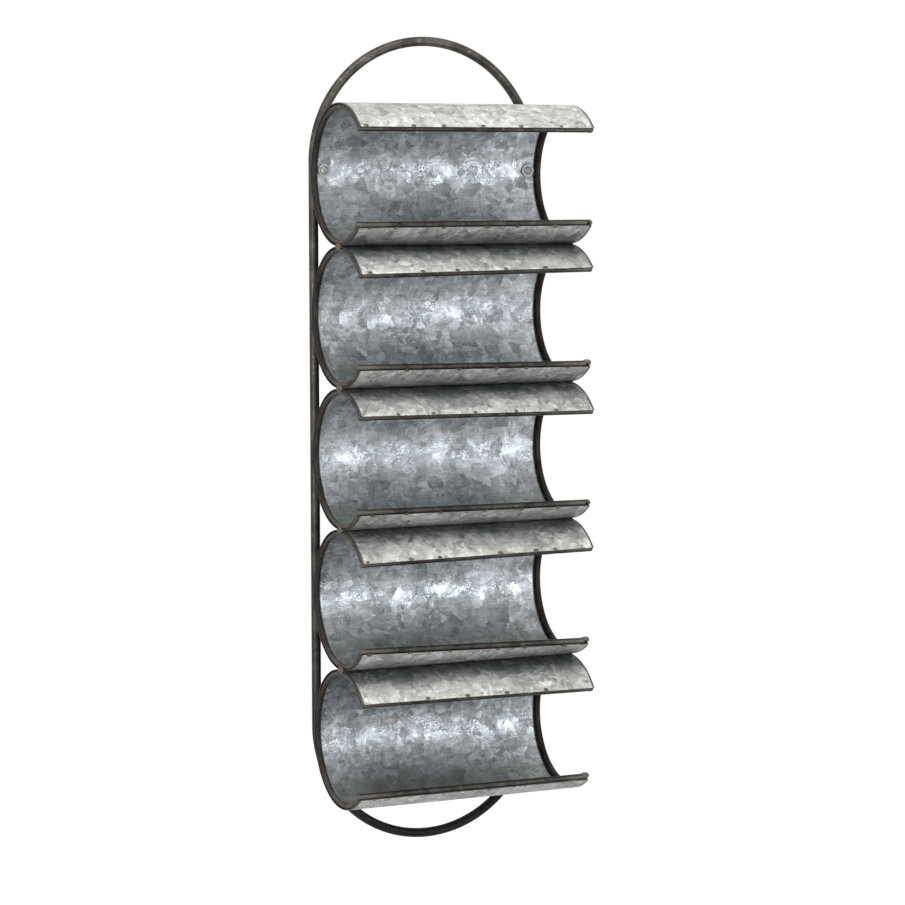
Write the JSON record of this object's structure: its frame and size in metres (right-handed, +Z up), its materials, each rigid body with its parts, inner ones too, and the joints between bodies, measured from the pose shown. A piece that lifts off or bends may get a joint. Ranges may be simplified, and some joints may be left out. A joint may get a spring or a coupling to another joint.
{
  "type": "wall wine rack",
  "caption": "Wall-hung wine rack: open-fronted cradles of rolled galvanised sheet on wire hoops, stacked one above another on a tall looped tube frame.",
  "frame": {"origin": "on the wall plane, in the middle of the width, level with the underside of the frame's top arch, where a wall hook carries the rack", "axes": "+Z up along the stack, +X towards the right end of the cradles as seen from the front, +Y into the wall, so the open fronts face -Y"},
  "size_m": [0.257, 0.1346, 0.818],
  "materials": {
    "galvanised_sheet": "mottled zinc with spangle, dull grey with bright patches",
    "dark_wire": "dark brown-grey waxed iron wire",
    "dark_tube": "near-black brown waxed iron tube",
    "weld_metal": "rough brown weld bead",
    "fixing_steel": "dull plated steel"
  },
  "bodies": {
    "root": {"wall_frame": "dark_tube", "cradle_sheet_1": "galvanised_sheet", "cradle_sheet_2": "galvanised_sheet", "cradle_sheet_3": "galvanised_sheet", "cradle_sheet_4": "galvanised_sheet", "cradle_sheet_5": "galvanised_sheet", "hoop_left_1": "dark_wire", "hoop_left_2": "dark_wire", "hoop_left_3": "dark_wire", "hoop_left_4": "dark_wire", "hoop_left_5": "dark_wire", "hoop_right_1": "dark_wire", "hoop_right_2": "dark_wire", "hoop_right_3": "dark_wire", "hoop_right_4": "dark_wire", "hoop_right_5": "dark_wire", "lip_rod_upper_1": "dark_wire", "lip_rod_upper_2": "dark_wire", "lip_rod_upper_3": "dark_wire", "lip_rod_upper_4": "dark_wire", "lip_rod_upper_5": "dark_wire", "lip_rod_lower_1": "dark_wire", "lip_rod_lower_2": "dark_wire", "lip_rod_lower_3": "dark_wire", "lip_rod_lower_4": "dark_wire", "lip_rod_lower_5": "dark_wire", "junction_weld_left_1": "weld_metal", "junction_weld_left_2": "weld_metal", "junction_weld_left_3": "weld_metal", "junction_weld_left_4": "weld_metal", "junction_weld_right_1": "weld_metal", "junction_weld_right_2": "weld_metal", "junction_weld_right_3": "weld_metal", "junction_weld_right_4": "weld_metal", "stile_weld_left_1": "weld_metal", "stile_weld_left_2": "weld_metal", "stile_weld_left_3": "weld_metal", "stile_weld_left_4": "weld_metal", "stile_weld_left_5": "weld_metal", "stile_weld_right_1": "weld_metal", "stile_weld_right_2": "weld_metal", "stile_weld_right_3": "weld_metal", "stile_weld_right_4": "weld_metal", "stile_weld_right_5": "weld_metal", "fixing_boss_left": "dark_tube", "fixing_boss_right": "dark_tube", "fixing_washer_left": "fixing_steel", "fixing_washer_right": "fixing_steel", "fixing_screw_left": "fixing_steel", "fixing_screw_right": "fixing_steel"}
  },
  "joints": []
}
